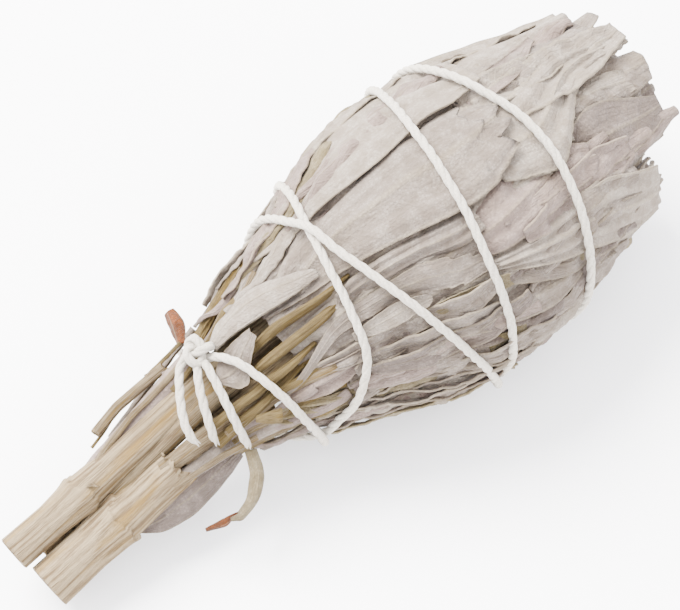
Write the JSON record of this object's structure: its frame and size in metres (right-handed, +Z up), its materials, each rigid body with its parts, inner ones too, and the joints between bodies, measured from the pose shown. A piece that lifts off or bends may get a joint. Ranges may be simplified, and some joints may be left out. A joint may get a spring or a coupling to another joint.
{
  "type": "sage bunch",
  "caption": "A small dried sage bunch on its side: grey-white leaves wrapped in a torch shape over cut woody stems, wound with white cotton string that is knotted at the neck.",
  "frame": {"origin": "middle of the bottom of the bounding box, on the surface that the bunch lies on", "axes": "+X runs along the bunch from the stems' cut ends to the leaf tips, +Z is up, +Y is across, away from the side with the three string tails"},
  "size_m": [0.1082, 0.0476, 0.0418],
  "materials": {
    "leaf_grey": "matt, felted with fine pale hairs, grey-white",
    "leaf_pale": "matt, felted with fine pale hairs, nearly white",
    "leaf_shade": "matt, the darker grey-brown of leaves further in",
    "leaf_pink": "matt, dried to a pinkish beige",
    "leaf_olive": "matt, still a little olive green",
    "scrap_brown": "matt brown",
    "stem": "dry tan-cream bark with ridges along it",
    "stalk": "dry olive-tan leaf stalks",
    "string": "matt warm-white twisted cotton"
  },
  "bodies": {
    "root": {"leaf_back_high": "leaf_grey", "leaf_back_low": "leaf_grey", "leaf_band": "leaf_grey", "leaf_belly_back": "leaf_grey", "leaf_belly_front": "leaf_grey", "leaf_belly_middle": "leaf_grey", "leaf_centre": "leaf_grey", "leaf_cut_pale": "leaf_pale", "leaf_front_low": "leaf_grey", "leaf_inner_01": "leaf_grey", "leaf_inner_02": "leaf_grey", "leaf_inner_03": "leaf_grey", "leaf_inner_04": "leaf_grey", "leaf_inner_05": "leaf_grey", "leaf_inner_06": "leaf_grey", "leaf_inner_07": "leaf_grey", "leaf_inner_08": "leaf_grey", "leaf_inner_09": "leaf_grey", "leaf_inner_10": "leaf_grey", "leaf_neck_folded": "leaf_pale", "leaf_neck_lower": "leaf_olive", "leaf_neck_pink": "leaf_pink", "leaf_neck_scrap": "leaf_grey", "leaf_pink": "leaf_pink", "leaf_right_long": "leaf_pale", "leaf_right_short": "leaf_olive", "leaf_side_lower": "leaf_grey", "leaf_side_middle": "leaf_grey", "leaf_side_narrow": "leaf_shade", "leaf_side_upper": "leaf_grey", "leaf_tip_dark": "leaf_shade", "leaf_tip_grey": "leaf_shade", "leaf_tip_low": "leaf_olive", "leaf_tip_rolled": "leaf_pale", "leaf_tip_slip": "leaf_pale", "leaf_tip_small": "leaf_pink", "leaf_top_left": "leaf_pale", "leaf_torn_flap": "leaf_grey", "leaf_upper_right": "leaf_pale", "scrap_bud_brown": "scrap_brown", "scrap_forked_stub": "leaf_olive", "scrap_hooked": "leaf_olive", "scrap_low_curl": "scrap_brown", "scrap_low_leaf": "leaf_pale", "stalk_centre_lower": "stalk", "stalk_centre_upper": "stalk", "stalk_left": "stalk", "stalk_right_lower": "stalk", "stalk_right_upper": "stalk", "stem_between": "stem", "stem_right_core": "stem", "stem_top_left": "stem", "stem_top_right": "stem", "stem_under": "stem", "string_knot": "string", "string_tail_left": "string", "string_tail_middle": "string", "string_tail_right": "string", "string_winding": "string", "twig_left": "stem"}
  },
  "joints": []
}
